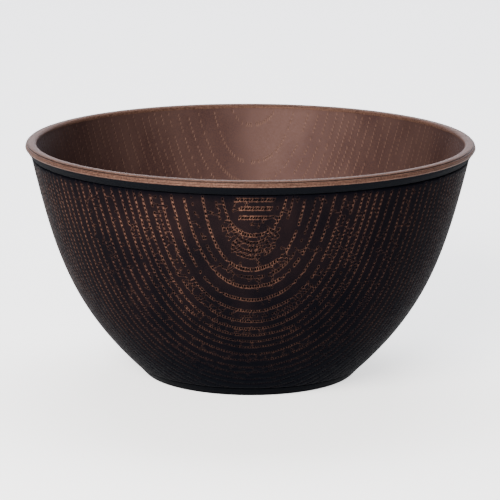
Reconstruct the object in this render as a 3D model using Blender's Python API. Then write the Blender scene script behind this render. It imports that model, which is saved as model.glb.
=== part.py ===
"""A deep round bowl in three turned pieces that nest on one axis.

outer_shell is the wall that is seen from outside. inner_shell is the smooth liner, and its lip reaches out
over the outer shell's edge. foot_ring is the low ring that the bowl stands on.

The origin is the centre of the foot's resting face. +Z points up, out of the bowl's mouth. Every outline is
drawn in the plane of +X and +Z, as Vector((radius, height)), and then turned about Z.
"""

import math

import bmesh
import bpy
from mathutils import Vector

MM = 0.001

# Overall sizes
RIM_DIAMETER = 150 * MM
HEIGHT = 79 * MM
FOOT_DIAMETER = 70.6 * MM

# Lip, which rolls out past the wall
LIP_OVERHANG = 1.9 * MM
LIP_FACE = 1.75 * MM
LIP_SLANT = 2.75 * MM
LIP_CROWN = 0.9 * MM
LIP_INNER_ROUND = 0.7 * MM

# Walls, and the gap that touching pieces keep
OUTER_WALL = 1.2 * MM
INNER_WALL = 1.0 * MM
BASE_THICKNESS = 1.6 * MM
FIT_GAP = 0.3 * MM

# Foot
FOOT_HEIGHT = 3.0 * MM
FOOT_WIDTH = 3.4 * MM
FOOT_FLARE = math.radians(43)
FOOT_OUTER_ROUND = 0.8 * MM
FOOT_INNER_ROUND = 0.4 * MM
FOOT_DRAFT = math.radians(8)
BOSS_DEPTH = 0.8 * MM

# Shape of the wall: its lean from the vertical at each end, and how far each lean carries on, as a share of
# the straight line between the ends
FLANK_LEAN = math.radians(46)
FLANK_PULL = 0.39
SHOULDER_LEAN = math.radians(13)
SHOULDER_PULL = 0.41

# Shape of the inside floor: where on the wall's curve it leaves the wall, and how closely it keeps to the
# corner under it
FLOOR_BLEND = 0.18
FLOOR_FULLNESS = 0.8
CORNER_FULLNESS = 0.7

# Steps that the curves are made of
AROUND = 72
WALL_STEPS = 11
FLOOR_STEPS = 6
LIP_STEPS = 5
ROUND_STEPS = 3

# Finishes: linear red, green and blue, then roughness, then metallic
LINER_FINISH = ((0.17, 0.072, 0.047), 0.36, 0.25)
TEXTURED_FINISH = ((0.035, 0.018, 0.014), 0.42, 0.2)
FOOT_FINISH = ((0.022, 0.014, 0.012), 0.45, 0.1)

WELD = 0.001 * MM
SHARP_ANGLE = math.radians(35)

RIM_RADIUS = RIM_DIAMETER / 2
FOOT_RADIUS = FOOT_DIAMETER / 2
BASE_HEIGHT = FOOT_HEIGHT + FIT_GAP
WALL_TOP = Vector((RIM_RADIUS - LIP_OVERHANG, HEIGHT - LIP_FACE - LIP_SLANT))


def foot_flank(height):
    """Point of the foot's leaning side at a height above the resting face."""
    return Vector((FOOT_RADIUS + height * math.tan(FOOT_FLARE), height))


def leaning(angle):
    """Unit direction that leans outwards from the vertical by an angle."""
    return Vector((math.sin(angle), math.cos(angle)))


def cubic(controls, steps, first=0.0):
    """Stations, each a point and a unit direction, along a cubic curve from the share first to its end."""
    start, lead_out, lead_in, end = controls
    stations = []
    for step in range(steps + 1):
        u = first + (1 - first) * step / steps
        v = 1 - u
        point = v**3 * start + 3 * v * v * u * lead_out + 3 * v * u * u * lead_in + u**3 * end
        slope = v * v * (lead_out - start) + 2 * v * u * (lead_in - lead_out) + u * u * (end - lead_in)
        stations.append((point, slope.normalized()))
    return stations


def inset(stations, depth):
    """The same stations moved square to the curve, by depth towards the inside of the bowl."""
    return [(point + depth * Vector((-way.y, way.x)), way) for point, way in stations]


def run_to_height(stations, height):
    """Points of the stations, with the last one slid along its own direction to a height."""
    points = [point for point, way in stations]
    last, way = stations[-1]
    points[-1] = last + way * ((height - last.y) / way.y)
    return points


def rounded(before, corner, after, radius):
    """Points of an arc of a radius that rounds the corner between two straight sides."""
    to_before = (before - corner).normalized()
    to_after = (after - corner).normalized()
    half = math.acos(to_before.dot(to_after)) / 2
    centre = corner + (to_before + to_after).normalized() * (radius / math.sin(half))
    start = corner + to_before * (radius / math.tan(half)) - centre
    end = corner + to_after * (radius / math.tan(half)) - centre
    sweep = math.pi - 2 * half
    points = []
    for step in range(ROUND_STEPS + 1):
        turn = sweep * step / ROUND_STEPS
        points.append(centre + (start * math.sin(sweep - turn) + end * math.sin(turn)) / math.sin(sweep))
    return points


def wall_curve(first=0.0):
    """Stations up the outside of the wall, from the foot to the lip."""
    start = foot_flank(BASE_HEIGHT)
    reach = (WALL_TOP - start).length
    lead_out = start + leaning(FLANK_LEAN) * (FLANK_PULL * reach)
    lead_in = WALL_TOP - leaning(SHOULDER_LEAN) * (SHOULDER_PULL * reach)
    return cubic((start, lead_out, lead_in, WALL_TOP), WALL_STEPS, first)


def lining_curve():
    """Stations along the outer shell's inside, from the axis over the floor and up to the lip."""
    side = inset(wall_curve(FLOOR_BLEND), OUTER_WALL)
    edge, way = side[0]
    centre = Vector((0, BASE_HEIGHT + BASE_THICKNESS))
    corner = edge - way * ((edge.y - centre.y) / way.y)
    lead_out = centre.lerp(corner, FLOOR_FULLNESS)
    lead_in = edge.lerp(corner, CORNER_FULLNESS)
    floor = cubic((centre, lead_out, lead_in, edge), FLOOR_STEPS)
    return floor[:-1] + side


def boss_radius():
    """Radius of the boss under the outer shell, which centres the foot ring."""
    return foot_bore(FOOT_HEIGHT) - FIT_GAP


def foot_bore(height):
    """Radius of the foot ring's inside at a height, which narrows upwards by the draft."""
    return FOOT_RADIUS - FOOT_WIDTH - height * math.tan(FOOT_DRAFT)


def outer_shell_outline():
    """The outer shell from the axis on its inside, over the top edge and back to the axis underneath."""
    top = WALL_TOP.y - FIT_GAP
    inside = run_to_height(lining_curve(), top)
    outside = run_to_height(wall_curve(), top)
    boss_side = Vector((boss_radius(), BASE_HEIGHT))
    boss_edge = Vector((boss_radius() - BOSS_DEPTH * math.tan(FOOT_DRAFT), BASE_HEIGHT - BOSS_DEPTH))
    boss_centre = Vector((0, BASE_HEIGHT - BOSS_DEPTH))
    return inside + outside[::-1] + [boss_side, boss_edge, boss_centre]


def lip_crown():
    """The lip's rounded outer face, from its widest point up to its top."""
    widest_height = HEIGHT - LIP_FACE
    points = []
    for step in range(LIP_STEPS + 1):
        turn = math.pi / 2 * step / LIP_STEPS
        radius = RIM_RADIUS - LIP_CROWN + LIP_CROWN * math.cos(turn)
        points.append(Vector((radius, widest_height + LIP_FACE * math.sin(turn))))
    return points


def inner_shell_outline():
    """The liner from the axis on its underside, around the lip and back to the axis over the floor."""
    outside = run_to_height(inset(lining_curve(), FIT_GAP), WALL_TOP.y)
    inside = run_to_height(inset(lining_curve(), FIT_GAP + INNER_WALL), HEIGHT)
    crown = lip_crown()
    inner_edge = rounded(crown[-1], inside[-1], inside[-2], LIP_INNER_ROUND)
    return outside + [WALL_TOP] + crown + inner_edge + inside[-2::-1]


def foot_ring_outline():
    """The foot ring's closed section, from the inner top corner down, outwards and up."""
    inner_top = Vector((foot_bore(FOOT_HEIGHT), FOOT_HEIGHT))
    inner_foot = Vector((foot_bore(0), 0))
    outer_foot = foot_flank(0)
    outer_top = foot_flank(FOOT_HEIGHT)
    inner_round = rounded(inner_top, inner_foot, outer_foot, FOOT_INNER_ROUND)
    outer_round = rounded(inner_foot, outer_foot, outer_top, FOOT_OUTER_ROUND)
    return [inner_top] + inner_round + outer_round + [outer_top]


def finish_material(name, colour, roughness, metallic):
    """A Principled material with one colour, roughness and metallic value."""
    material = bpy.data.materials.new(name)
    material.use_nodes = True
    shader = material.node_tree.nodes["Principled BSDF"]
    shader.inputs["Base Color"].default_value = (*colour, 1)
    shader.inputs["Roughness"].default_value = roughness
    shader.inputs["Metallic"].default_value = metallic
    return material


def turned(name, outline, is_ring, material, parent):
    """An object made by turning an outline about Z. A ring's outline closes on itself."""
    work = bmesh.new()
    corners = [work.verts.new((point.x, 0, point.y)) for point in outline]
    sides = [work.edges.new(pair) for pair in zip(corners, corners[1:])]
    if is_ring:
        sides.append(work.edges.new((corners[-1], corners[0])))
    bmesh.ops.spin(
        work,
        geom=corners + sides,
        cent=(0, 0, 0),
        axis=(0, 0, 1),
        angle=2 * math.pi,
        steps=AROUND,
        use_merge=True,
    )
    bmesh.ops.remove_doubles(work, verts=work.verts, dist=WELD)
    bmesh.ops.recalc_face_normals(work, faces=work.faces)
    mesh = bpy.data.meshes.new(name)
    work.to_mesh(mesh)
    work.free()
    mesh.shade_smooth()
    mesh.set_sharp_from_angle(angle=SHARP_ANGLE)
    mesh.materials.append(material)
    piece = bpy.data.objects.new(name, mesh)
    piece.parent = parent
    bpy.context.collection.objects.link(piece)
    return piece


def clear_scene():
    for old in list(bpy.data.objects):
        bpy.data.objects.remove(old, do_unlink=True)


def build():
    clear_scene()
    axis = bpy.data.objects.new("bowl_axis", None)
    bpy.context.collection.objects.link(axis)
    liner = finish_material("satin_copper_brown", *LINER_FINISH)
    textured = finish_material("dark_copper_brown", *TEXTURED_FINISH)
    foot = finish_material("blackened_brown", *FOOT_FINISH)
    turned("outer_shell", outer_shell_outline(), False, textured, axis)
    turned("inner_shell", inner_shell_outline(), False, liner, axis)
    turned("foot_ring", foot_ring_outline(), True, foot, axis)


build()
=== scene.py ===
"""The looks of the bowl: a dark wood-grain relief outside, a satin copper-brown inside, and a rolled lip.

Every pore of the relief is a real pit in the mesh. A pore is where an upright vessel of the wood meets the
surface, so the pores are laid out in plan, along growth rings, and then cut into the curved walls. Lengths in
the named values are millimetres, and the meshes are in metres.
"""

import math
import random

import bmesh
import bpy
import numpy as np
from mathutils import Matrix, Vector, noise
from mathutils.geometry import delaunay_2d_cdt


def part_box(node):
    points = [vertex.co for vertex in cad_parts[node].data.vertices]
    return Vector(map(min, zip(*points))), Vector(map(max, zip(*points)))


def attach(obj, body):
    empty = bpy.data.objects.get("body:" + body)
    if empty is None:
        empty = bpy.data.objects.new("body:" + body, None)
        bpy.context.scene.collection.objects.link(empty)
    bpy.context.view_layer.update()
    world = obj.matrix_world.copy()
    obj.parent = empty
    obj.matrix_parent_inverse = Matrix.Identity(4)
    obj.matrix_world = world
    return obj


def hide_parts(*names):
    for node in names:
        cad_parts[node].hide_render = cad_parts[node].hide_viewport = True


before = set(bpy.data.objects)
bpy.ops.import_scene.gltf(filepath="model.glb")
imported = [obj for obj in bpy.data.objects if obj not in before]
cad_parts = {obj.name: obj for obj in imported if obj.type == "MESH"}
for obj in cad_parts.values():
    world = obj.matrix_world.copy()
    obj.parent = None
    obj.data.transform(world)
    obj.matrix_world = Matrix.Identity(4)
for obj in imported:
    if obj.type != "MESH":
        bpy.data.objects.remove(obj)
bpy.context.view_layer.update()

MM = 0.001

# Sizes that the frame gives
RIM_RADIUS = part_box("inner_shell")[1].x / MM
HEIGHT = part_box("inner_shell")[1].z / MM
FOOT_TOP_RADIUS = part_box("foot_ring")[1].x / MM
FOOT_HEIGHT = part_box("foot_ring")[1].z / MM
SHELL_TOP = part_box("outer_shell")[1].z / MM

# Walls and gaps, as in the part
OUTER_WALL = 1.2
INNER_WALL = 1.0
BASE_THICKNESS = 1.6
FIT_GAP = 0.3
FLANK_LEAN = math.radians(46)
FLANK_PULL = 0.39
SHOULDER_LEAN = math.radians(13)
SHOULDER_PULL = 0.41
FLOOR_BLEND = 0.18
FLOOR_FULLNESS = 0.8
CORNER_FULLNESS = 0.7

# Foot, with the part's sizes, and its rounded edges: steps out from the edge, and heights
FOOT_WIDTH = 3.4
FOOT_FLARE = math.radians(43)
FOOT_DRAFT = math.radians(8)
BOSS_DEPTH = 0.8
FOOT_INNER_EDGE = ((-0.1, 0.5), (0.1, 0.12), (0.45, 0.0))
FOOT_OUTER_EDGE = ((-0.5, 0.0), (-0.05, 0.12), (0.45, 0.5))
FOOT_SHARP = math.radians(40)

# Lip: its outline has the part's sizes, but its top is rounder, inside the part's solid
LIP_OVERHANG = 1.9
LIP_FACE = 1.75
LIP_SLANT = 2.75
LIP_CROWN = 1.6
LIP_INNER_ROUND = 1.3
LIP_LOWER_EDGE = ((0.12, 0.22), (0.42, 0.52))
LIP_STEPS = 28
LIP_INNER_STEPS = 8
LIP_UNDER_SECTIONS = 2

# Fine grooves of the lip's front face: the place as a share of its quarter turn, the depth, the width as
# such a share, and how many of its sections are painted dark, as shade in the groove
LIP_GROOVES = ((0.47, 0.22, 0.05, 3), (0.86, 0.08, 0.05, 1))

# Dents in the lip: its sections, counted from the inner edge or back from the end, with a share of the depth
LIP_NICKS = ((9, 0.4), (10, 0.4), (-4, 1.0), (-3, 1.0), (-2, 0.8))
LIP_NICK = 0.12
NICK_GAIN = 2.2
NICK_RATE = (0.9, 0.9, 0.4)

# Growth rings, in plan: nested half ellipses round a point at the rim. Depths are measured from that point,
# and a width share is the ring's half width over its depth.
RING_CENTRE = 74.5
RING_SIDE = 1.4
FRONT_RINGS = (4.6, 7.8, 9.8, 11.6, 13.3, 15.1, 16.6, 18.0, 19.4, 20.9, 22.8, 24.9)
RING_MARGIN = 4
RING_SPACING = 2.5
RING_SPACING_SPREAD = 0.6
RING_WIDTH_SHARE = 2.3
RING_WIDTH_GROWTH = 0.018
RING_WIDTH_SHARE_MOST = 2.75
RING_WIDTHS = {4.6: 2.38, 5.9: 2.2, 7.8: 2.2}
RING_FULLNESS = 1.8
RING_FULLNESS_REACH = 10
RING_DRIFT = 0.35
RING_DRIFT_RATE = (0.15, 0.37)
RING_STEP = 0.06
RING_STEPS_LEAST = 8

# Pores of the rings: how far a row turns them, and how much they differ
ROW_TILT = 0.16
ROW_TILT_REACH = 22
ROW_TILT_SPREAD = 0.12
ROW_PITCH_SPREAD = 0.12
ROW_SIZES = (0.9, 1.08)

# Faint rings between the others
FAINT_RINGS = (5.9, 8.7, 14.2)
FAINT_SHARE = 0.7
FAINT_SIZE = 0.9
# How strongly the faint rings' brims take the copper painted highlight
FAINT_GLINT = 0.94

# Short rows near the front of the rim: depth, ends to the left and right. Tilts are in degrees, and pitches
# are shares of a pore's width and gap.
LEVEL_ROWS = ((1.78, -4.4, 8.0), (2.45, -3.0, 7.0), (3.18, -3.2, 6.0))
LEVEL_TILTS = (18, 38)
LEVEL_SIZES = (0.9, 1.05)
LEVEL_PITCHES = (0.98, 1.18)
BROKEN_ROWS = ((5.3, -5.5, 7.5), (5.74, -7.0, 9.5), (6.18, -8.0, 9.0), (6.62, -5.5, 8.0))
BROKEN_WIDTH_SHARE = 2.3
BROKEN_DRIFT = 0.03
BROKEN_TILTS = (10, 34)
BROKEN_SIZES = (0.8, 0.98)
BROKEN_PITCHES = (0.95, 1.35)
# How strongly the broken rows' brims take the copper painted highlight
BROKEN_GLINT = 0.95

# Loose pores between the rings
LOOSE_TRIES = 8000
LOOSE_SIZE = 0.7
LOOSE_SIZES = (0.75, 1.15)
LOOSE_TILT_SPREAD = 0.25
LOOSE_CROWDS = (0.05, 0.15, 0.5, 1.0)
# How strongly the loose pores' brims take the copper painted highlight
LOOSE_GLINT = 0.93

# Pores, on the surface. A vessel's plan length, over the wall's lean, gives a pore's length.
PORE_WIDTH = 0.58
VESSEL = 0.42
PORE_LENGTH_LEAST = 0.55
PORE_LENGTH_MOST = 1.45
GAP_ACROSS = 0.24
GAP_ALONG = 0.42
STEEP_LENGTH = 0.68
PORE_OUTLINE = ((0, 1), (-0.92, 0.7), (-0.92, -0.7), (0, -1), (0.92, -0.7), (0.92, 0.7))
PORE_SIDES = len(PORE_OUTLINE)
PORE_DEPTH = 0.26
PORE_BRIM = 0.035
PORE_CLEARANCE = 0.07
PORE_CELL = 1.0
FLOOR_RISE = 0.25
INNER_EDGE_CLEARANCE = 0.04
OUTER_EDGE_CLEARANCE = 0.02

# Plain ground between the pores, and the widths at which ground between brims takes the full copper painted
# highlight and none
GROUND_SPACING = 1.1
ROW_HEIGHT = 0.866
FILL_CLEARANCE = 0.3
FILL_JITTER = 0.2
BAR_WIDTHS = (0.30, 0.50)

# The liner's fainter pores
LINER_RING_SHARE = 0.88
LINER_PORE_SIZE = 0.95
LINER_PORE_LONGER = 1.25
LINER_PORE_DEPTH = 0.07
LINER_PORE_BRIM = 0.01
LINER_GROUND_SPACING = 1.2

# Steps that the meshes are made of: up the side and over the floor for the lining
WALL_STATIONS = 160
INSIDE_STEPS = (120, 60)
HIDDEN_STEPS = (16, 8)
AROUND = 360
SEED = 7

# Guards against rounding
TINY = 1e-9
FLATTEST = 1e-6
WELD = 1e-7
SAME_PLACE = 1e-4

# Colours, as linear red, green, blue and alpha
GROUND_DARK = (0.0024, 0.0021, 0.0031, 1)
GROUND_BROWN = (0.0066, 0.0040, 0.0047, 1)
GROUND_LIGHT = (0.0145, 0.0083, 0.0078, 1)
# Copper painted highlight, where the pores' brims and the ground between them catch the light
BRIM_HIGHLIGHT = (0.1120, 0.0540, 0.0360, 1)
BRIM_HIGHLIGHT_DARK = (0.0600, 0.0290, 0.0210, 1)
# Painted shade in the pores' floors
PORE_PAINTED_SHADE = (0.0008, 0.0008, 0.0011, 1)
# Painted shade: the dark the wall fades to under the lip, towards the foot and towards the sides, also used
# on the lip's underside and grooves
PAINTED_SHADE = (0.0008, 0.0012, 0.0023, 1)
LINER_DARK = (0.0440, 0.0235, 0.0225, 1)
LINER_LIGHT = (0.0680, 0.0385, 0.0345, 1)
# Painted shade towards both sides of the inside
LINER_SHADE = (0.0140, 0.0070, 0.0065, 1)
LINER_SPECK = (0.1000, 0.0510, 0.0370, 1)
# Painted highlight in the liner's pores, where their edges catch the light
LINER_PORE_HIGHLIGHT = (0.1450, 0.0820, 0.0580, 1)
LIP_DARK = (0.0270, 0.0122, 0.0088, 1)
LIP_LIGHT = (0.0720, 0.0340, 0.0235, 1)
LIP_SPECK = (0.1900, 0.1100, 0.0800, 1)
FOOT_DARK = (0.0008, 0.0012, 0.0022, 1)
FOOT_BROWN = (0.0030, 0.0026, 0.0030, 1)

# How the copper painted highlight fades from a pore's brim: a power of the brim's glint, over the ground and
# down into the pit
BRIM_SHARPNESS = 11
PIT_SHARPNESS = 5
PIT_SHARE = 0.3

# Noise of each finish: the size of its features, with their stretch along each axis and their detail where
# they aren't plain, and the shares of their colours. A span is what the noise is spread out from and to.
WALL_PATCH = (9, (1, 1, 2.5))
WALL_SPECKLE = 0.3
WALL_SPECKLE_SHARE = 0.3
# Noise that breaks up the copper painted highlight on the pores' brims
WALL_GLINT_NOISE = 0.6
WALL_GLINT_NOISE_SPAN = (0.35, 0.6, 0.3, 1)
WALL_BUMP = 0.22
LINER_PATCH = (16, (1, 1, 2))
LINER_SPECKLE = (0.5, (1, 1, 1), 3)
LINER_SPECKLE_SPAN = (0.35, 0.7)
LINER_SPECKLE_SHARE = 0.35
LINER_PORE_SHARE = 0.3
LINER_BUMP = 0.3
LIP_STREAK = (4, (1, 1, 0.05), 3)
LIP_SPECKLE_SHARE = 0.4
LIP_GROOVE_SHARE = 0.75
FOOT_SPECKLE = 0.4
FOOT_STREAK = (3, (1, 1, 0.06))
FOOT_BUMP = 0.3
BUMP_DEPTH = 0.02
BROAD = (0.3, 0.7)
NARROW = (0.35, 0.65)

# Gloss of each finish
WALL_ROUGHNESS = (0.4, 0.56)
LINER_ROUGHNESS = (0.48, 0.62)
FOOT_ROUGHNESS = (0.42, 0.6)
LINER_METALLIC = 0.3
DARK_IOR = 1.03
LINER_IOR = 1.14

# Painted shade, as fades of the colour towards a dark shade. Towards the sides: the centre, where it begins
# and ends, and what is left. By height, a painted shadow under the lip and painted shade towards the foot:
# where it begins and ends, and the share at each.
WALL_PAINTED_SIDE_SHADE = (-16, 10, 70, 0.34)
LINER_PAINTED_SIDE_SHADE = (8, 30, 72, 0.5)
PAINTED_LIP_SHADOW = (71.8, 74.2, 1, 0.2)
PAINTED_BOTTOM_SHADE = (8, 62, 0.06, 1)


# ---------------------------------------------------------------- outlines

def vec(radius, height):
    return np.array((radius, height))


def leaning(angle):
    """Unit direction that leans outwards from the vertical by an angle."""
    return vec(math.sin(angle), math.cos(angle))


def cubic(start, lead_out, lead_in, end, steps, first=0.0):
    """Points and unit directions along a cubic curve, from the share first to its end."""
    u = np.linspace(first, 1, steps + 1)[:, None]
    v = 1 - u
    points = v**3 * start + 3 * v * v * u * lead_out + 3 * v * u * u * lead_in + u**3 * end
    ways = v * v * (lead_out - start) + 2 * v * u * (lead_in - lead_out) + u * u * (end - lead_in)
    return points, ways / np.linalg.norm(ways, axis=1)[:, None]


def inset(points, ways, depth):
    """The curve moved square to itself, by depth towards the inside of the bowl."""
    return points + depth * np.column_stack((-ways[:, 1], ways[:, 0]))


def run_to_height(points, ways, height):
    """The points, with the last one slid along its own direction to a height."""
    points = points.copy()
    points[-1] += ways[-1] * (height - points[-1, 1]) / ways[-1, 1]
    return points


BASE_HEIGHT = FOOT_HEIGHT + FIT_GAP
FOOT_RADIUS = FOOT_TOP_RADIUS - FOOT_HEIGHT * math.tan(FOOT_FLARE)
WALL_TOP = vec(RIM_RADIUS - LIP_OVERHANG, HEIGHT - LIP_FACE - LIP_SLANT)


def wall_curve(first=0.0, steps=WALL_STATIONS):
    start = vec(FOOT_RADIUS + BASE_HEIGHT * math.tan(FOOT_FLARE), BASE_HEIGHT)
    reach = np.linalg.norm(WALL_TOP - start)
    lead_out = start + leaning(FLANK_LEAN) * FLANK_PULL * reach
    lead_in = WALL_TOP - leaning(SHOULDER_LEAN) * SHOULDER_PULL * reach
    return cubic(start, lead_out, lead_in, WALL_TOP, steps, first)


def lining_curve(depth, side_steps, floor_steps):
    """The curve between the shells, from the axis up to the lip, moved inwards by depth."""
    side, side_ways = wall_curve(FLOOR_BLEND, side_steps)
    side = inset(side, side_ways, OUTER_WALL)
    centre = vec(0, BASE_HEIGHT + BASE_THICKNESS)
    edge, way = side[0], side_ways[0]
    corner = edge - way * (edge[1] - centre[1]) / way[1]
    lead_out = centre + (corner - centre) * FLOOR_FULLNESS
    lead_in = edge + (corner - edge) * CORNER_FULLNESS
    floor, floor_ways = cubic(centre, lead_out, lead_in, edge, floor_steps)
    points = np.vstack((floor[:-1], side))
    ways = np.vstack((floor_ways[:-1], side_ways))
    return inset(points, ways, depth), ways


class Surface:
    """A turned surface over the plan, from its outline's points and directions.

    Its triangles are laid out on a flat disc that keeps every angle of the surface, so that they are as even
    on the steep wall as on the floor. A disc radius is found from a plan radius by adding up step / radius.
    """

    def __init__(self, points, ways, outward):
        self.radii = points[:, 0]
        self.heights = points[:, 1]
        self.slopes = ways[:, 1] / np.maximum(ways[:, 0], FLATTEST)
        self.outward = outward
        self.inner = self.radii[0]
        self.outer = self.radii[-1]
        steps = np.linalg.norm(np.diff(points, axis=0), axis=1)
        growth = steps / ((self.radii[1:] + self.radii[:-1]) / 2)
        if self.inner <= 0:
            growth[0] = 0
        self.lengths = np.concatenate(((0,), np.cumsum(steps)))
        first = max(self.inner, self.radii[1] if self.inner <= 0 else 0)
        self.disc = first * np.exp(np.concatenate(((0,), np.cumsum(growth))))
        if self.inner <= 0:
            self.disc[0] = 0

    def height(self, radius):
        return np.interp(radius, self.radii, self.heights)

    def sine(self, radius):
        """Sine of the lean from the vertical: a step in plan over the step on the surface."""
        slope = np.interp(radius, self.radii, self.slopes)
        return 1 / np.sqrt(1 + slope * slope)

    def on_disc(self, plan):
        """Points of the flat disc for plan points."""
        radius = np.maximum(np.hypot(plan[:, 0], plan[:, 1]), TINY)
        return plan * (np.interp(radius, self.radii, self.disc) / radius)[:, None]

    def place(self, plan, rise):
        """Points in space over plan points, lifted off the surface by rise."""
        radius = np.maximum(np.hypot(plan[:, 0], plan[:, 1]), TINY)
        sine = self.sine(radius)
        cosine = np.sqrt(1 - sine * sine)
        side = self.outward * rise * cosine
        up = -self.outward * rise * sine
        scale = 1 + side / radius
        height = self.height(radius) + up
        return np.column_stack((plan[:, 0] * scale, plan[:, 1] * scale, height))


# ---------------------------------------------------------------- pores

def ring_depths():
    """Depths of the growth rings behind the front of the rim."""
    spread = random.Random(SEED)
    depths = list(FRONT_RINGS)
    while depths[-1] < 2 * RING_CENTRE + RING_MARGIN:
        step = RING_SPACING + spread.uniform(-RING_SPACING_SPREAD, RING_SPACING_SPREAD)
        depths.append(depths[-1] + step)
    return depths


def ring_width_share(depth):
    """Half width over depth, which is listed for the first rings."""
    if depth in RING_WIDTHS:
        return RING_WIDTHS[depth]
    return min(RING_WIDTH_SHARE + RING_WIDTH_GROWTH * depth, RING_WIDTH_SHARE_MOST)


def pore_length(sine):
    """Length of a pore where the wall leans by this sine: long on a steep wall, short on a flat floor."""
    return min(max(VESSEL / sine, PORE_LENGTH_LEAST), PORE_LENGTH_MOST)


class Pore:
    """A pore: a slanted six-sided pit on the surface, with its plan outline and its deepest point."""

    def __init__(self, surface, x, y, size, tilt, brim_glint, stretch):
        self.brim_glint = brim_glint
        self.x = x
        self.y = y
        self.size = size
        self.slant = math.tan(tilt)
        self.radius = math.hypot(x, y)
        self.sine = float(surface.sine(self.radius))
        self.length = pore_length(self.sine) * size * stretch
        self.width = PORE_WIDTH * size
        self.out = (x / self.radius, y / self.radius)
        self.outline = [self.point(side, rise) for side, rise in PORE_OUTLINE]
        self.floor = self.point(0, FLOOR_RISE)

    def point(self, side, rise):
        """Plan point at shares of the half width and half length."""
        rise *= self.length / 2
        side = side * self.width / 2 + rise * self.slant
        rise *= self.sine
        x = self.x - side * self.out[1] + rise * self.out[0]
        y = self.y + side * self.out[0] + rise * self.out[1]
        return x, y

    def near(self, point, margin):
        """True if a plan point is in the pore's rounded outline, grown by a margin."""
        dx = point[0] - self.x
        dy = point[1] - self.y
        rise = (dx * self.out[0] + dy * self.out[1]) / self.sine
        side = dy * self.out[0] - dx * self.out[1] - rise * self.slant
        return (side / (self.width / 2 + margin)) ** 4 + (rise / (self.length / 2 + margin)) ** 4 < 1


class Pores:
    """Pores that keep clear of each other, with a grid of cells to find neighbours."""

    def __init__(self, surface):
        self.surface = surface
        self.found = []
        self.cells = {}

    def around(self, x, y):
        """Pores in the cell of a plan point and in the cells next to it."""
        for i in (-1, 0, 1):
            for j in (-1, 0, 1):
                yield from self.cells.get((int(x // PORE_CELL) + i, int(y // PORE_CELL) + j), ())

    def add(self, x, y, size, tilt, brim_glint=1.0, stretch=1.0):
        """Adds a pore, unless it would reach past the surface's edges or too near another pore."""
        pore = Pore(self.surface, x, y, size, tilt, brim_glint, stretch)
        inner = self.surface.inner + INNER_EDGE_CLEARANCE
        outer = self.surface.outer - OUTER_EDGE_CLEARANCE
        for corner in pore.outline:
            if not inner < math.hypot(*corner) < outer:
                return
        for other in self.around(x, y):
            if any(other.near(corner, PORE_CLEARANCE) for corner in pore.outline + [pore.floor]):
                return
            if any(pore.near(corner, PORE_CLEARANCE) for corner in other.outline):
                return
        self.found.append(pore)
        self.cells.setdefault((int(x // PORE_CELL), int(y // PORE_CELL)), []).append(pore)


def ring_pores(pores, depths, share=1.0, size=1.0, longer=1.0, brim_glint=1.0, facing=1):
    """Pores in single file along growth rings of these depths. share is how many of them are there.

    facing is 1 for rings round the front of the rim, and -1 for rings round the back of it.
    """
    spread = random.Random(SEED + 1)
    for depth in depths:
        width = ring_width_share(depth)
        fullness = 2 + RING_FULLNESS * math.exp(-depth / RING_FULLNESS_REACH)
        steps = int(depth * math.pi * width / RING_STEP) + RING_STEPS_LEAST
        wobble = spread.uniform(0, 100)
        left = spread.uniform(0, 1)
        last = None
        for step in range(steps + 1):
            turn = math.pi * (step / steps - 0.5)
            x = width * depth * math.copysign(abs(math.sin(turn)) ** (2 / fullness), turn) + RING_SIDE
            y = facing * (depth * math.cos(turn) - RING_CENTRE)
            lean = float(pores.surface.sine(math.hypot(x, y)))
            place = Vector((x * RING_DRIFT_RATE[0], depth * RING_DRIFT_RATE[1], wobble))
            drift = RING_DRIFT * lean * noise.noise(place)
            x += drift * math.sin(turn)
            y += drift * math.cos(turn)
            radius = math.hypot(x, y)
            if last is None or not pores.surface.inner < radius < pores.surface.outer:
                last = (x, y)
                continue
            sine = float(pores.surface.sine(radius))
            dx = x - last[0]
            dy = y - last[1]
            rise = (dx * x + dy * y) / radius / sine
            side = (dy * x - dx * y) / radius
            across = abs(side) / max(math.hypot(rise, side), TINY)
            stretch = STEEP_LENGTH + (1 - STEEP_LENGTH) * across
            rise /= pore_length(sine) * stretch + GAP_ALONG
            side /= PORE_WIDTH + GAP_ACROSS
            left -= math.hypot(rise, side)
            last = (x, y)
            if left <= 0:
                left += 1 + spread.uniform(-ROW_PITCH_SPREAD, ROW_PITCH_SPREAD)
                if spread.random() < share:
                    tilt = ROW_TILT * math.tanh(x / ROW_TILT_REACH) + spread.gauss(0, ROW_TILT_SPREAD)
                    pores.add(x, y, size * spread.uniform(*ROW_SIZES), tilt, brim_glint, stretch * longer)


def short_rows(pores):
    """Three level rows of slanted pores above the smallest ring, and broken rows that follow it below."""
    spread = random.Random(SEED + 3)
    pitch = PORE_WIDTH + GAP_ACROSS
    for depth, left, right in LEVEL_ROWS:
        radius = RING_CENTRE - depth
        x = left
        while x < right:
            tilt = math.radians(spread.uniform(*LEVEL_TILTS))
            pores.add(x, -math.sqrt(radius * radius - x * x), spread.uniform(*LEVEL_SIZES), tilt)
            x += pitch * spread.uniform(*LEVEL_PITCHES)
    for depth, left, right in BROKEN_ROWS:
        x = left
        while x < right:
            along = depth + spread.uniform(-BROKEN_DRIFT, BROKEN_DRIFT)
            y = along * math.sqrt(1 - ((x - RING_SIDE) / (BROKEN_WIDTH_SHARE * depth)) ** 2) - RING_CENTRE
            tilt = math.radians(spread.uniform(*BROKEN_TILTS))
            pores.add(x, y, spread.uniform(*BROKEN_SIZES), tilt, BROKEN_GLINT)
            x += pitch * spread.uniform(*BROKEN_PITCHES)


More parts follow.
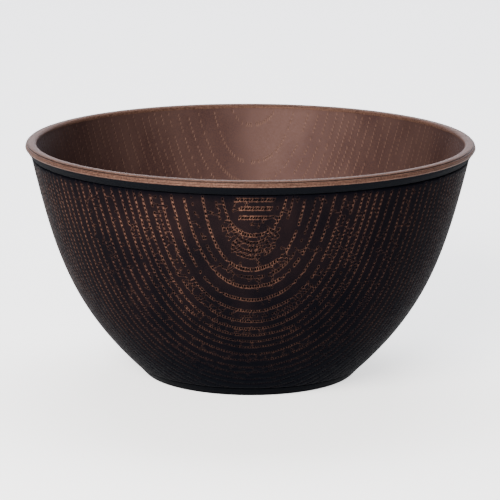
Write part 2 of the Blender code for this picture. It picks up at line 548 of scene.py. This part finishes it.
def loose_pores(pores):
    """Small pores between the rings, crowded in some bands and missing in others."""
    spread = random.Random(SEED + 2)
    depths = ring_depths()
    crowd = [spread.choice(LOOSE_CROWDS) for depth in depths]
    for attempt in range(LOOSE_TRIES):
        radius = math.sqrt(spread.uniform(pores.surface.inner**2, pores.surface.outer**2))
        turn = spread.uniform(0, 2 * math.pi)
        x = radius * math.cos(turn)
        y = radius * math.sin(turn)
        depth = math.hypot(y + RING_CENTRE, (x - RING_SIDE) / RING_WIDTH_SHARE_MOST)
        band = sum(1 for ring in depths if ring < depth) % len(crowd)
        if spread.random() < crowd[band]:
            size = LOOSE_SIZE * spread.uniform(*LOOSE_SIZES)
            pores.add(x, y, size, spread.gauss(0, LOOSE_TILT_SPREAD), LOOSE_GLINT)


# ---------------------------------------------------------------- meshes

def circle(radius):
    """Plan points round a circle."""
    turns = [2 * math.pi * i / AROUND for i in range(AROUND)]
    return [(radius * math.cos(turn), radius * math.sin(turn)) for turn in turns]


def fill_points(surface, pores, spacing):
    """Plan points for the plain ground between the pores, in even rows round the surface."""
    spread = random.Random(SEED + 4)
    points = []
    rows = max(int(surface.lengths[-1] / (spacing * ROW_HEIGHT)), 1)
    for row in range(1, rows):
        radius = float(np.interp(surface.lengths[-1] * row / rows, surface.lengths, surface.radii))
        count = max(int(2 * math.pi * radius / spacing), 3)
        start = spread.random()
        for step in range(count):
            turn = 2 * math.pi * (step + start + spread.uniform(-FILL_JITTER, FILL_JITTER)) / count
            point = (radius * math.cos(turn), radius * math.sin(turn))
            if not any(pore.near(point, spacing * FILL_CLEARANCE) for pore in pores.around(*point)):
                points.append(point)
    return points


def relief(surface, pores, depth, brim, spacing):
    """A surface with its pores: vertices, triangles, pore floors, brim glints for the painted highlight, and
    their shares.

    Floors say which triangles are in a pore. The brims' glint, for the copper painted highlight, goes by
    vertex. Its share goes by triangle, and is 0 where the ground between glinting brims is broad. The first
    AROUND vertices run round the outer edge and, if there is an inner edge, the next AROUND round that.
    """
    plan = circle(surface.outer)
    if surface.inner > 0:
        plan += circle(surface.inner)
    rise = [0.0] * len(plan)
    brim_glint = [0.0] * len(plan)
    owner = [-1] * len(plan)
    edges = []
    for number, pore in enumerate(pores.found):
        first = len(plan)
        plan += pore.outline + [pore.floor]
        edges += [(first + i, first + (i + 1) % PORE_SIDES) for i in range(PORE_SIDES)]
        rise += [brim] * PORE_SIDES + [-depth * pore.size]
        brim_glint += [pore.brim_glint] * PORE_SIDES + [0.0]
        owner += [number] * (PORE_SIDES + 1)
    ground = fill_points(surface, pores, spacing)
    plan += ground
    rise += [0.0] * len(ground)
    brim_glint += [0.0] * len(ground)
    owner += [-1] * len(ground)
    plan = np.array(plan)
    disc = surface.on_disc(plan)
    made = delaunay_2d_cdt([Vector(point) for point in disc], edges, [], 0, WELD, False)
    assert len(made[0]) == len(plan), "pores cross each other"
    assert np.allclose(np.array([tuple(point) for point in made[0]]), disc, atol=SAME_PLACE)
    triangles = np.array(made[2])
    centre = np.linalg.norm(disc[triangles].mean(axis=1), axis=1)
    if surface.inner > 0:
        triangles = triangles[centre > surface.disc[0]]
    owner = np.array(owner)
    owners = owner[triangles]
    floors = (owners[:, 0] >= 0) & (owners[:, 0] == owners[:, 1]) & (owners[:, 0] == owners[:, 2])
    places = surface.place(plan, np.array(rise))
    brim_glint = np.array(brim_glint)
    between = (brim_glint[triangles] > 0).all(axis=1) & ~floors
    thin = np.where(between, np.interp(widths(places[triangles]), BAR_WIDTHS, (1, 0)), 1)
    faces = [tuple(int(i) for i in face) for face in triangles]
    return [tuple(point) for point in places], faces, floors, brim_glint, thin


def widths(corners):
    """Width of each triangle, square to its longest side."""
    sides = corners - np.roll(corners, 1, axis=1)
    area = np.linalg.norm(np.cross(sides[:, 0], sides[:, 1]), axis=1)
    return area / np.linalg.norm(sides, axis=2).max(axis=1)


def turned_rings(points, outline, first_ring):
    """Carries a ring of vertices on through an outline's points. A point on the axis closes it."""
    faces = []
    ring = first_ring
    for radius, height in outline:
        start = len(points)
        if radius < TINY:
            points.append((0.0, 0.0, height))
            faces += [(ring[i], ring[(i + 1) % AROUND], start) for i in range(AROUND)]
            return faces
        points += [(x, y, height) for x, y in circle(radius)]
        fresh = list(range(start, start + AROUND))
        for i in range(AROUND):
            after = (i + 1) % AROUND
            faces.append((ring[i], ring[after], fresh[after], fresh[i]))
        ring = fresh
    return faces


def mesh_object(name, points, faces, floors=()):
    """An object of triangles and quads, smooth but for the pores' floors, which come first in faces."""
    mesh = bpy.data.meshes.new(name)
    mesh.from_pydata([(x * MM, y * MM, z * MM) for x, y, z in points], [], faces)
    work = bmesh.new()
    work.from_mesh(mesh)
    bmesh.ops.recalc_face_normals(work, faces=work.faces)
    work.to_mesh(mesh)
    work.free()
    smooth = np.ones(len(mesh.polygons), bool)
    smooth[: len(floors)] = ~np.asarray(floors, bool)
    mesh.polygons.foreach_set("use_smooth", smooth)
    mesh.update()
    piece = bpy.data.objects.new(name, mesh)
    bpy.context.collection.objects.link(piece)
    return piece


def paint(piece, brim_glint, thin, floors, under=(0, 0), lip=(0, 0), grooves=()):
    """Marks for the material, in the red, green and blue of a colour attribute.

    Red marks the pores' brims, for a copper painted highlight, and the lip's underside, for painted shade;
    green marks pore floors and the lip's grooves, and blue marks the lip. The brims' glint goes by vertex,
    thin and floors by face, and under, lip and grooves are spans of faces.
    """
    mesh = piece.data
    corner_vertex = np.empty(len(mesh.loops), np.int32)
    mesh.loops.foreach_get("vertex_index", corner_vertex)
    totals = np.empty(len(mesh.polygons), np.int32)
    mesh.polygons.foreach_get("loop_total", totals)
    red = np.zeros(len(mesh.vertices), np.float32)
    red[: len(brim_glint)] = brim_glint
    face_red, green, blue = np.zeros((3, len(mesh.polygons)), np.float32)
    face_red[under[0]:under[1]] = 1
    green[: len(floors)] = floors
    for start, end in grooves:
        green[start:end] = 1
    share = np.zeros(len(mesh.polygons), np.float32)
    share[: len(thin)] = thin
    blue[lip[0]:lip[1]] = 1
    colours = np.ones((len(mesh.loops), 4), np.float32)
    colours[:, 0] = np.maximum(red[corner_vertex] * np.repeat(share, totals), np.repeat(face_red, totals))
    colours[:, 1] = np.repeat(green, totals)
    colours[:, 2] = np.repeat(blue, totals)
    layer = mesh.color_attributes.new("pores", "FLOAT_COLOR", "CORNER")
    layer.data.foreach_set("color", colours.ravel())


def outer_bowl():
    points, ways = wall_curve()
    points = run_to_height(points, ways, SHELL_TOP)
    surface = Surface(points, ways, 1)
    pores = Pores(surface)
    ring_pores(pores, ring_depths())
    short_rows(pores)
    ring_pores(pores, FAINT_RINGS, FAINT_SHARE, FAINT_SIZE, brim_glint=FAINT_GLINT)
    loose_pores(pores)
    verts, faces, floors, brim_glint, thin = relief(surface, pores, PORE_DEPTH, PORE_BRIM, GROUND_SPACING)
    lining, lining_ways = lining_curve(0, *HIDDEN_STEPS)
    lining = run_to_height(lining, lining_ways, SHELL_TOP)
    faces += turned_rings(verts, lining[::-1], list(range(AROUND)))
    boss = FOOT_RADIUS - FOOT_WIDTH - FOOT_HEIGHT * math.tan(FOOT_DRAFT) - FIT_GAP
    under = (
        (boss, BASE_HEIGHT),
        (boss - BOSS_DEPTH * math.tan(FOOT_DRAFT), BASE_HEIGHT - BOSS_DEPTH),
        (0.0, BASE_HEIGHT - BOSS_DEPTH),
    )
    faces += turned_rings(verts, under, list(range(AROUND, 2 * AROUND)))
    piece = mesh_object("outer_wall", verts, faces, floors)
    paint(piece, brim_glint, thin, floors)
    return piece


def lip_face():
    """Points of the lip's grooved front face, from its top down to its widest."""
    points = []
    for step in range(LIP_STEPS + 1):
        share = step / LIP_STEPS
        turn = math.pi / 2 * (1 - share)
        cut = sum(deep * math.exp(-((share - at) / wide) ** 2) for at, deep, wide, dark in LIP_GROOVES)
        radius = RIM_RADIUS - LIP_CROWN + (LIP_CROWN - cut) * math.cos(turn)
        points.append((radius, HEIGHT - LIP_FACE + (LIP_FACE - cut) * math.sin(turn)))
    return points


def lip_outline(inner_radius):
    """From the inner edge of the lip over its crown, and back under it to the liner's outside."""
    outline = []
    for step in range(1, LIP_INNER_STEPS + 1):
        turn = math.pi / 2 * step / LIP_INNER_STEPS
        radius = inner_radius + LIP_INNER_ROUND * (1 - math.cos(turn))
        outline.append((radius, HEIGHT - LIP_INNER_ROUND * (1 - math.sin(turn))))
    outline += lip_face()
    outline += [(RIM_RADIUS - inwards, HEIGHT - LIP_FACE - down) for inwards, down in LIP_LOWER_EDGE]
    outline.append((WALL_TOP[0], WALL_TOP[1]))
    return outline


def dark_grooves(lip_first):
    """Spans of faces in the lip's grooves, which the material paints in shade. lip_first is the number of the
    lip's first face.
    """
    spans = []
    for at, deep, wide, dark in LIP_GROOVES:
        section = round(LIP_INNER_STEPS + at * LIP_STEPS - dark / 2)
        spans.append((lip_first + AROUND * section, lip_first + AROUND * (section + dark)))
    return spans


def nick_lip(verts, first_vertex, sections):
    """Small dents, pressed inwards, round the lip's lower edge and its top."""
    for section, share in LIP_NICKS:
        for i in range(AROUND):
            number = first_vertex + section % sections * AROUND + i
            x, y, z = verts[number]
            place = Vector((x * NICK_RATE[0], y * NICK_RATE[1], z * NICK_RATE[2]))
            dent = LIP_NICK * share * max(0.0, NICK_GAIN * noise.noise(place))
            scale = 1 - dent / RIM_RADIUS
            verts[number] = (x * scale, y * scale, z)


def inner_bowl():
    points, ways = lining_curve(FIT_GAP + INNER_WALL, *INSIDE_STEPS)
    points = run_to_height(points, ways, HEIGHT - LIP_INNER_ROUND)
    surface = Surface(points, ways, -1)
    pores = Pores(surface)
    ring_pores(pores, ring_depths(), LINER_RING_SHARE, LINER_PORE_SIZE, LINER_PORE_LONGER, facing=-1)
    made = relief(surface, pores, LINER_PORE_DEPTH, LINER_PORE_BRIM, LINER_GROUND_SPACING)
    verts, faces, floors, brim_glint, thin = made
    outside, outside_ways = lining_curve(FIT_GAP, *HIDDEN_STEPS)
    outside = run_to_height(outside, outside_ways, WALL_TOP[1])
    lip = lip_outline(surface.outer)
    lip_first = len(faces)
    lip_last = lip_first + AROUND * (len(lip) - LIP_UNDER_SECTIONS)
    under_last = lip_last + AROUND * LIP_UNDER_SECTIONS
    first_vertex = len(verts)
    faces += turned_rings(verts, lip + [tuple(point) for point in outside[::-1]], list(range(AROUND)))
    nick_lip(verts, first_vertex, len(lip))
    piece = mesh_object("inner_bowl", verts, faces, floors)
    grooves = dark_grooves(lip_first)
    paint(piece, brim_glint * 0, thin, floors, (lip_last, under_last), (lip_first, lip_last), grooves)
    return piece


def foot():
    inner = FOOT_RADIUS - FOOT_WIDTH
    top_inner = inner - FOOT_HEIGHT * math.tan(FOOT_DRAFT)
    section = [(inner + out, height) for out, height in FOOT_INNER_EDGE]
    section += [(FOOT_RADIUS + out, height) for out, height in FOOT_OUTER_EDGE]
    section.append((FOOT_TOP_RADIUS, FOOT_HEIGHT))
    verts = [(x, y, FOOT_HEIGHT) for x, y in circle(top_inner)]
    faces = turned_rings(verts, section, list(range(AROUND)))
    last = len(verts) - AROUND
    faces += [(last + i, last + (i + 1) % AROUND, (i + 1) % AROUND, i) for i in range(AROUND)]
    piece = mesh_object("foot", verts, faces)
    piece.data.set_sharp_from_angle(angle=FOOT_SHARP)
    return piece


# ---------------------------------------------------------------- materials

def material_nodes(name):
    material = bpy.data.materials.new(name)
    material.use_nodes = True
    tree = material.node_tree
    return material, tree, tree.nodes["Principled BSDF"]


def feed(tree, socket, value):
    """Links a socket to a socket, or sets its plain value."""
    if isinstance(value, bpy.types.NodeSocket):
        tree.links.new(value, socket)
    else:
        socket.default_value = value


def mix_colour(tree, factor, first, second):
    node = tree.nodes.new("ShaderNodeMix")
    node.data_type = "RGBA"
    feed(tree, node.inputs[0], factor)
    feed(tree, node.inputs[6], first)
    feed(tree, node.inputs[7], second)
    return node.outputs[2]


def maths(tree, operation, first, second):
    node = tree.nodes.new("ShaderNodeMath")
    node.operation = operation
    feed(tree, node.inputs[0], first)
    feed(tree, node.inputs[1], second)
    return node.outputs[0]


def grain(tree, size, stretch=(1, 1, 1), detail=2.0):
    """Noise with features of a size, stretched by a share along each axis."""
    place = tree.nodes.new("ShaderNodeTexCoord")
    mapping = tree.nodes.new("ShaderNodeMapping")
    mapping.inputs["Scale"].default_value = [1 / (size * MM * share) for share in stretch]
    texture = tree.nodes.new("ShaderNodeTexNoise")
    texture.inputs["Scale"].default_value = 1
    texture.inputs["Detail"].default_value = detail
    tree.links.new(place.outputs["Object"], mapping.inputs["Vector"])
    tree.links.new(mapping.outputs["Vector"], texture.inputs["Vector"])
    return texture.outputs["Fac"]


def spread_out(tree, value, low, high, to_low=0, to_high=1):
    """Carries the span from low to high over to another span, and holds it at the ends."""
    node = tree.nodes.new("ShaderNodeMapRange")
    feed(tree, node.inputs["Value"], value)
    node.inputs["From Min"].default_value = low
    node.inputs["From Max"].default_value = high
    node.inputs["To Min"].default_value = to_low
    node.inputs["To Max"].default_value = to_high
    return node.outputs["Result"]


def bumps(tree, height):
    node = tree.nodes.new("ShaderNodeBump")
    node.inputs["Strength"].default_value = 1
    node.inputs["Distance"].default_value = BUMP_DEPTH * MM
    tree.links.new(height, node.inputs["Height"])
    return node.outputs["Normal"]


def pore_marks(tree):
    """The mesh's red, green and blue marks, which paint() explains."""
    marks = tree.nodes.new("ShaderNodeAttribute")
    marks.attribute_name = "pores"
    split = tree.nodes.new("ShaderNodeSeparateColor")
    tree.links.new(marks.outputs["Color"], split.inputs[0])
    return split.outputs


def object_place(tree, axis):
    """The place in the object's own frame along an axis, in metres."""
    place = tree.nodes.new("ShaderNodeTexCoord")
    split = tree.nodes.new("ShaderNodeSeparateXYZ")
    tree.links.new(place.outputs["Object"], split.inputs[0])
    return split.outputs[axis]


def by_height(tree, low, high, to_low, to_high):
    """A value that goes with the height above the floor, given in millimetres."""
    return spread_out(tree, object_place(tree, 2), low * MM, high * MM, to_low, to_high)


def to_the_sides(tree, centre, near, far, share):
    """A value that falls from 1 to a share between two distances to the left and right of a centre."""
    offset = maths(tree, "SUBTRACT", object_place(tree, 0), centre * MM)
    distance = maths(tree, "ABSOLUTE", offset, 0)
    return spread_out(tree, distance, near * MM, far * MM, 1, share)


def wall_material():
    material, tree, shader = material_nodes("dark_grain")
    brim, floor = pore_marks(tree)[:2]
    patches = spread_out(tree, grain(tree, *WALL_PATCH), *NARROW)
    speckle = spread_out(tree, grain(tree, WALL_SPECKLE), *BROAD)
    # Noise that breaks up the copper painted highlight on the brims
    glint_noise = spread_out(tree, grain(tree, WALL_GLINT_NOISE), *WALL_GLINT_NOISE_SPAN)
    ground = mix_colour(tree, patches, GROUND_DARK, GROUND_BROWN)
    ground = mix_colour(tree, maths(tree, "MULTIPLY", speckle, WALL_SPECKLE_SHARE), ground, GROUND_LIGHT)
    # Copper painted highlight on the pores' brims and the ground between them, and a little way down into the
    # pits
    copper = mix_colour(tree, patches, BRIM_HIGHLIGHT_DARK, BRIM_HIGHLIGHT)
    inside = maths(tree, "MULTIPLY", maths(tree, "POWER", brim, PIT_SHARPNESS), floor)
    inside = maths(tree, "MULTIPLY", inside, PIT_SHARE)
    outside = maths(tree, "MULTIPLY", maths(tree, "POWER", brim, BRIM_SHARPNESS), glint_noise)
    # Painted shade in the pores' floors
    colour = mix_colour(tree, floor, ground, PORE_PAINTED_SHADE)
    colour = mix_colour(tree, maths(tree, "MAXIMUM", inside, outside), colour, copper)
    # Painted shade: a shadow under the lip, darker towards the foot, and darker towards both sides
    painted_shade_mix = maths(tree, "MULTIPLY", by_height(tree, *PAINTED_LIP_SHADOW), by_height(tree, *PAINTED_BOTTOM_SHADE))
    painted_shade_mix = maths(tree, "MULTIPLY", painted_shade_mix, to_the_sides(tree, *WALL_PAINTED_SIDE_SHADE))
    colour = mix_colour(tree, painted_shade_mix, PAINTED_SHADE, colour)
    tree.links.new(colour, shader.inputs["Base Color"])
    tree.links.new(spread_out(tree, speckle, 0, 1, *WALL_ROUGHNESS), shader.inputs["Roughness"])
    tree.links.new(bumps(tree, grain(tree, WALL_BUMP)), shader.inputs["Normal"])
    shader.inputs["IOR"].default_value = DARK_IOR
    return material


def liner_material():
    material, tree, shader = material_nodes("satin_copper_brown")
    under, dark, lip = pore_marks(tree)
    patches = spread_out(tree, grain(tree, *LINER_PATCH), *NARROW)
    speckle = spread_out(tree, grain(tree, *LINER_SPECKLE), *LINER_SPECKLE_SPAN)
    inside = mix_colour(tree, patches, LINER_DARK, LINER_LIGHT)
    inside = mix_colour(tree, maths(tree, "MULTIPLY", speckle, LINER_SPECKLE_SHARE), inside, LINER_SPECK)
    # Painted highlight in the liner's pores
    inside = mix_colour(tree, maths(tree, "MULTIPLY", dark, LINER_PORE_SHARE), inside, LINER_PORE_HIGHLIGHT)
    # Painted shade towards both sides of the inside
    inside = mix_colour(tree, to_the_sides(tree, *LINER_PAINTED_SIDE_SHADE), LINER_SHADE, inside)
    streaks = spread_out(tree, grain(tree, *LIP_STREAK), *BROAD)
    band = mix_colour(tree, streaks, LIP_DARK, LIP_LIGHT)
    band = mix_colour(tree, maths(tree, "MULTIPLY", speckle, LIP_SPECKLE_SHARE), band, LIP_SPECK)
    # Painted shade in the lip's grooves
    band = mix_colour(tree, maths(tree, "MULTIPLY", dark, LIP_GROOVE_SHARE), band, PAINTED_SHADE)
    colour = mix_colour(tree, lip, inside, band)
    # Painted shade on the lip's slanted underside
    colour = mix_colour(tree, under, colour, PAINTED_SHADE)
    tree.links.new(colour, shader.inputs["Base Color"])
    satin = spread_out(tree, speckle, 0, 1, *LINER_ROUGHNESS)
    tree.links.new(maths(tree, "MAXIMUM", satin, under), shader.inputs["Roughness"])
    tree.links.new(bumps(tree, grain(tree, LINER_BUMP)), shader.inputs["Normal"])
    tree.links.new(spread_out(tree, under, 0, 1, LINER_METALLIC, 0), shader.inputs["Metallic"])
    shader.inputs["IOR"].default_value = LINER_IOR
    return material


def foot_material():
    material, tree, shader = material_nodes("foot_black")
    speckle = spread_out(tree, grain(tree, FOOT_SPECKLE), *BROAD)
    streaks = spread_out(tree, grain(tree, *FOOT_STREAK), *NARROW)
    colour = mix_colour(tree, maths(tree, "MULTIPLY", speckle, streaks), FOOT_DARK, FOOT_BROWN)
    tree.links.new(colour, shader.inputs["Base Color"])
    tree.links.new(spread_out(tree, speckle, 0, 1, *FOOT_ROUGHNESS), shader.inputs["Roughness"])
    tree.links.new(bumps(tree, grain(tree, FOOT_BUMP)), shader.inputs["Normal"])
    shader.inputs["IOR"].default_value = DARK_IOR
    return material


# ---------------------------------------------------------------- stage

# Camera, in metres, with its lens and sensor in millimetres
CAMERA_ELEVATION = math.radians(12.4)
CAMERA_DISTANCE = 0.908
CAMERA_LENS = 194
CAMERA_SENSOR = 36
CAMERA_REACH = 50
AIM_HEIGHT = 0.0411
CAMERA_ROLL = math.radians(0.25)

# Lights: name, place and aim in metres, size, power and colour
LIGHTS = (
    ("overhead", (0, 0.45, 0.9), (0, 0, 0.05), (0.8, 0.5), 14, (0.94, 0.95, 1.0)),
    ("key", (-0.28, -0.66, 0.42), (0, 0, 0.05), (0.55, 0.3), 18, (1.0, 0.94, 0.88)),
    ("back", (0, 1.2, 0.42), (0, 0, 0.08), (1.6, 0.4), 11, (0.93, 0.91, 1.0)),
)

# Backdrop light and floor
WORLD_COLOUR = (0.80, 0.88, 1.0, 1)
WORLD_STRENGTH = 0.25
FLOOR_HALF = 4
FLOOR_COLOUR = (0.9, 0.9, 0.9, 1)
FLOOR_ROUGHNESS = 0.9
FLOOR_GLOW = 1.5


def camera():
    data = bpy.data.cameras.new("camera")
    data.lens = CAMERA_LENS
    data.sensor_width = CAMERA_SENSOR
    data.clip_end = CAMERA_REACH
    eye = bpy.data.objects.new("camera", data)
    bpy.context.collection.objects.link(eye)
    back = Vector((0, -math.cos(CAMERA_ELEVATION), math.sin(CAMERA_ELEVATION)))
    aim = Vector((0, 0, AIM_HEIGHT))
    eye.location = aim + back * CAMERA_DISTANCE
    turn = (-back).to_track_quat("-Z", "Y").to_matrix().to_4x4()
    eye.rotation_euler = (turn @ Matrix.Rotation(CAMERA_ROLL, 4, "Z")).to_euler()
    bpy.context.scene.camera = eye


def area_light(name, place, aim, size, power, colour):
    data = bpy.data.lights.new(name, "AREA")
    data.shape = "RECTANGLE"
    data.size = size[0]
    data.size_y = size[1]
    data.energy = power
    data.color = colour
    light = bpy.data.objects.new(name, data)
    light.location = place
    way = Vector(aim) - Vector(place)
    light.rotation_euler = way.to_track_quat("-Z", "Y").to_euler()
    bpy.context.collection.objects.link(light)


def pale_floor():
    corners = [(x * FLOOR_HALF, y * FLOOR_HALF, 0) for x, y in ((-1, -1), (1, -1), (1, 1), (-1, 1))]
    mesh = bpy.data.meshes.new("floor")
    mesh.from_pydata(corners, [], [(0, 1, 2, 3)])
    floor = bpy.data.objects.new("floor", mesh)
    bpy.context.collection.objects.link(floor)
    material, tree, shader = material_nodes("pale_floor")
    shader.inputs["Base Color"].default_value = FLOOR_COLOUR
    shader.inputs["Roughness"].default_value = FLOOR_ROUGHNESS
    shader.inputs["Emission Color"].default_value = (1, 1, 1, 1)
    shader.inputs["Emission Strength"].default_value = FLOOR_GLOW
    mesh.materials.append(material)


def studio():
    world = bpy.data.worlds.new("studio")
    world.use_nodes = True
    background = world.node_tree.nodes["Background"]
    background.inputs[0].default_value = WORLD_COLOUR
    background.inputs[1].default_value = WORLD_STRENGTH
    bpy.context.scene.world = world
    for light in LIGHTS:
        area_light(*light)
    pale_floor()


def build():
    outer = outer_bowl()
    outer.data.materials.append(wall_material())
    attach(outer, "root")
    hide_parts("outer_shell")
    inner = inner_bowl()
    inner.data.materials.append(liner_material())
    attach(inner, "root")
    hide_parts("inner_shell")
    base = foot()
    base.data.materials.append(foot_material())
    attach(base, "root")
    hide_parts("foot_ring")
    camera()
    studio()


build()
